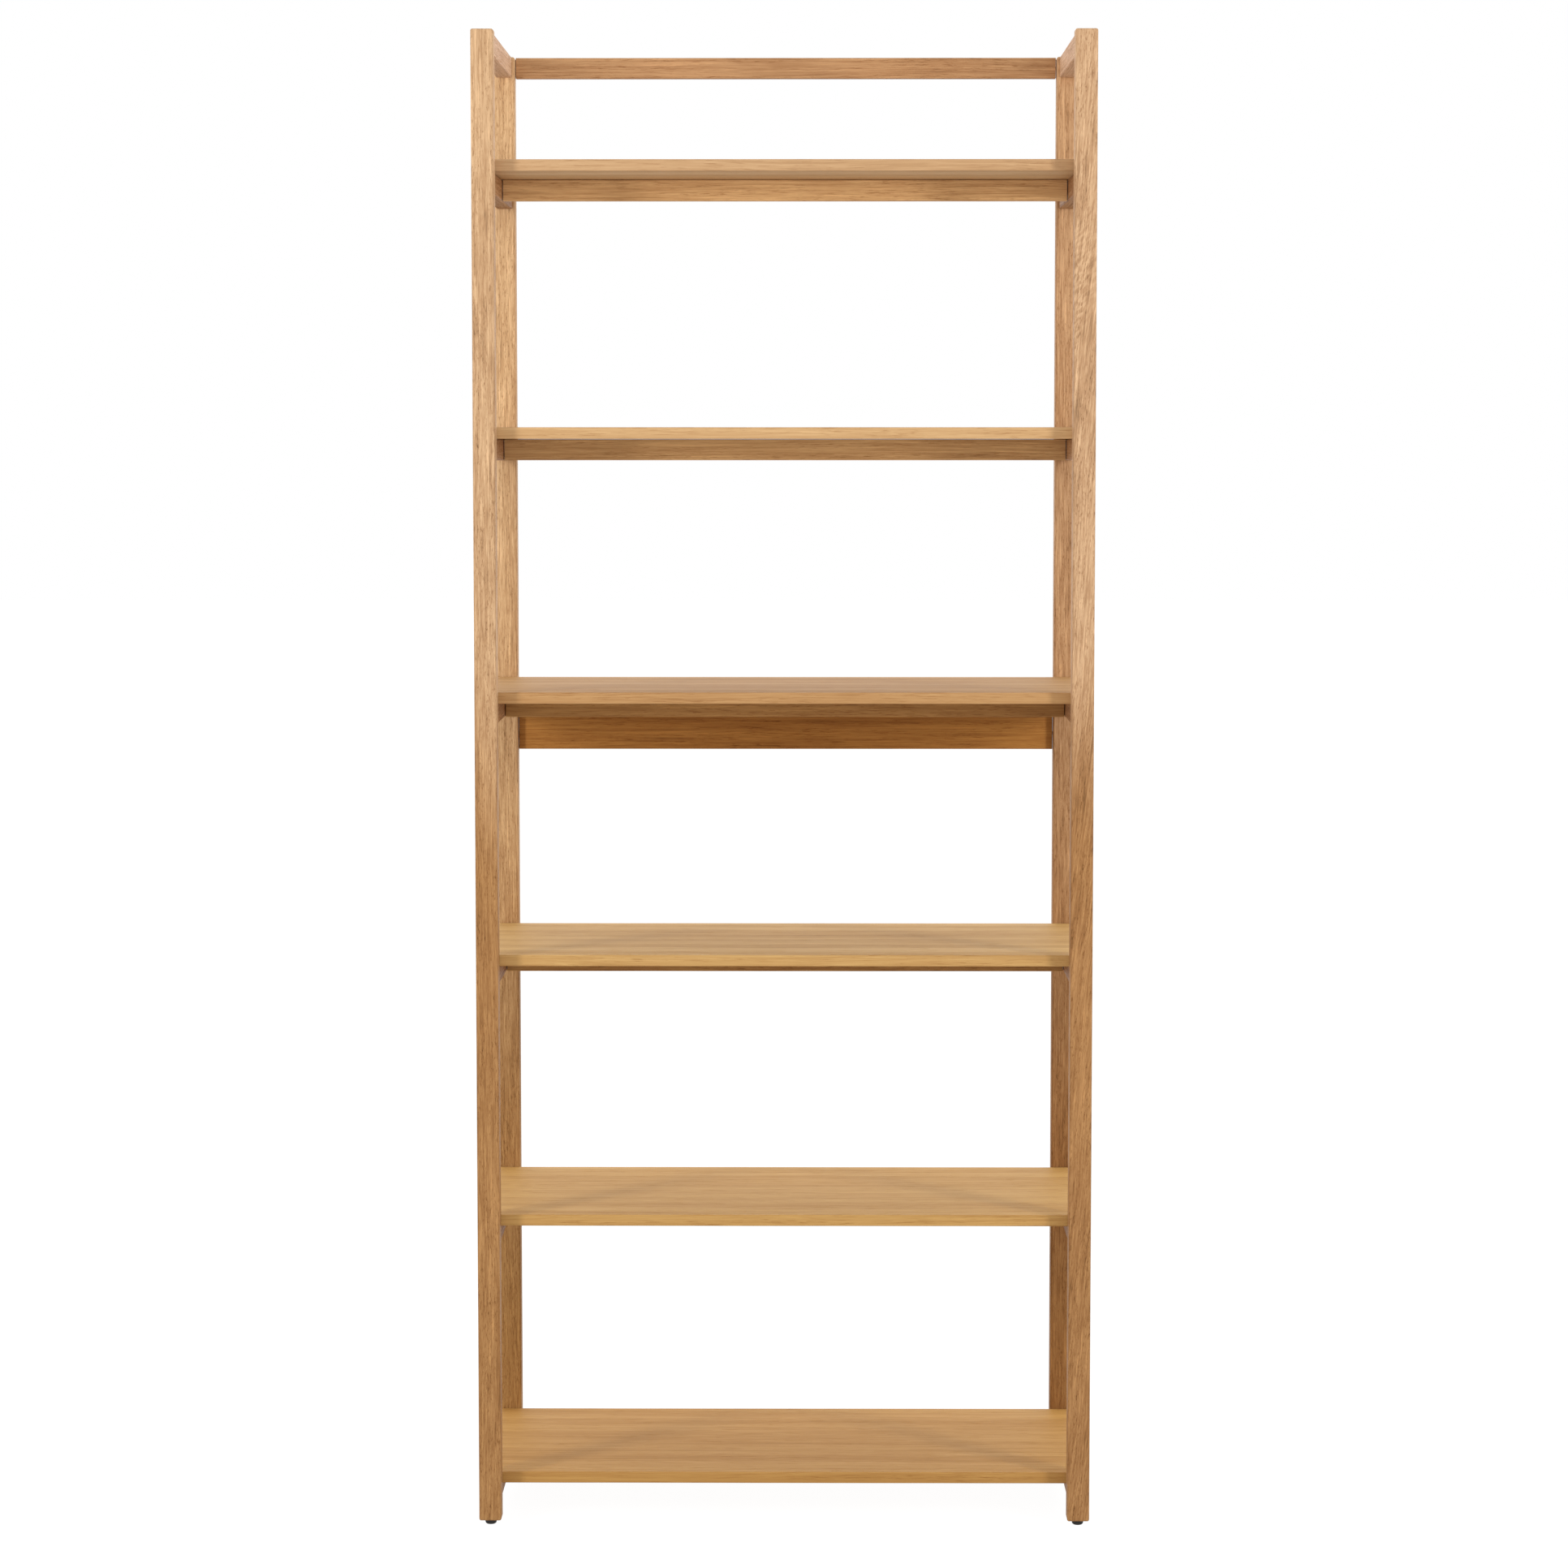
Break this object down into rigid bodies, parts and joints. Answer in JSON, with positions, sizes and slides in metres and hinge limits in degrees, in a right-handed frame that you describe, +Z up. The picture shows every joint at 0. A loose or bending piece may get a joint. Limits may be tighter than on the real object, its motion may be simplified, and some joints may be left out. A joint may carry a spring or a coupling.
{
  "type": "ladder shelf",
  "caption": "Tall open oak shelf unit with two upright ladder side frames, wooden boards, cross rails at the back and small dark glides under the posts.",
  "frame": {"origin": "on the floor under the middle of the unit", "axes": "+Z up along the posts; +Y towards the back, the front faces -Y; +X to the right seen from the front"},
  "size_m": [0.8, 0.4, 1.943],
  "materials": {
    "oak_solid": "oiled solid oak, straight grain along each bar, eased edges",
    "oak_veneer": "oiled oak board, grain along the length",
    "black_plastic": "matte black-brown",
    "steel": "zinc plated"
  },
  "bodies": {
    "root": {"front_post_left": "oak_solid", "front_post_right": "oak_solid", "rear_post_left": "oak_solid", "rear_post_right": "oak_solid", "side_rail_left_1": "oak_solid", "side_rail_left_2": "oak_solid", "side_rail_left_3": "oak_solid", "side_rail_left_4": "oak_solid", "side_rail_left_5": "oak_solid", "side_rail_left_6": "oak_solid", "top_side_rail_left": "oak_solid", "side_rail_right_1": "oak_solid", "side_rail_right_2": "oak_solid", "side_rail_right_3": "oak_solid", "side_rail_right_4": "oak_solid", "side_rail_right_5": "oak_solid", "side_rail_right_6": "oak_solid", "top_side_rail_right": "oak_solid", "shelf_1": "oak_veneer", "shelf_2": "oak_veneer", "shelf_3": "oak_veneer", "shelf_4": "oak_veneer", "shelf_5": "oak_veneer", "shelf_6": "oak_veneer", "shelf_batten_1": "oak_solid", "shelf_batten_2": "oak_solid", "shelf_batten_3": "oak_solid", "shelf_batten_4": "oak_solid", "shelf_batten_5": "oak_solid", "shelf_batten_6": "oak_solid", "top_back_rail": "oak_solid", "rear_stretcher": "oak_solid", "glide_front_left": "black_plastic", "glide_nail_front_left": "steel", "glide_front_right": "black_plastic", "glide_nail_front_right": "steel", "glide_rear_left": "black_plastic", "glide_nail_rear_left": "steel", "glide_rear_right": "black_plastic", "glide_nail_rear_right": "steel", "back_rail_bolt_left": "steel", "stretcher_bolt_upper_left": "steel", "stretcher_bolt_lower_left": "steel", "shelf_screw_left_1": "steel", "shelf_screw_left_2": "steel", "shelf_screw_left_3": "steel", "shelf_screw_left_4": "steel", "shelf_screw_left_5": "steel", "shelf_screw_left_6": "steel", "back_rail_bolt_right": "steel", "stretcher_bolt_upper_right": "steel", "stretcher_bolt_lower_right": "steel", "shelf_screw_right_1": "steel", "shelf_screw_right_2": "steel", "shelf_screw_right_3": "steel", "shelf_screw_right_4": "steel", "shelf_screw_right_5": "steel", "shelf_screw_right_6": "steel"}
  },
  "joints": []
}
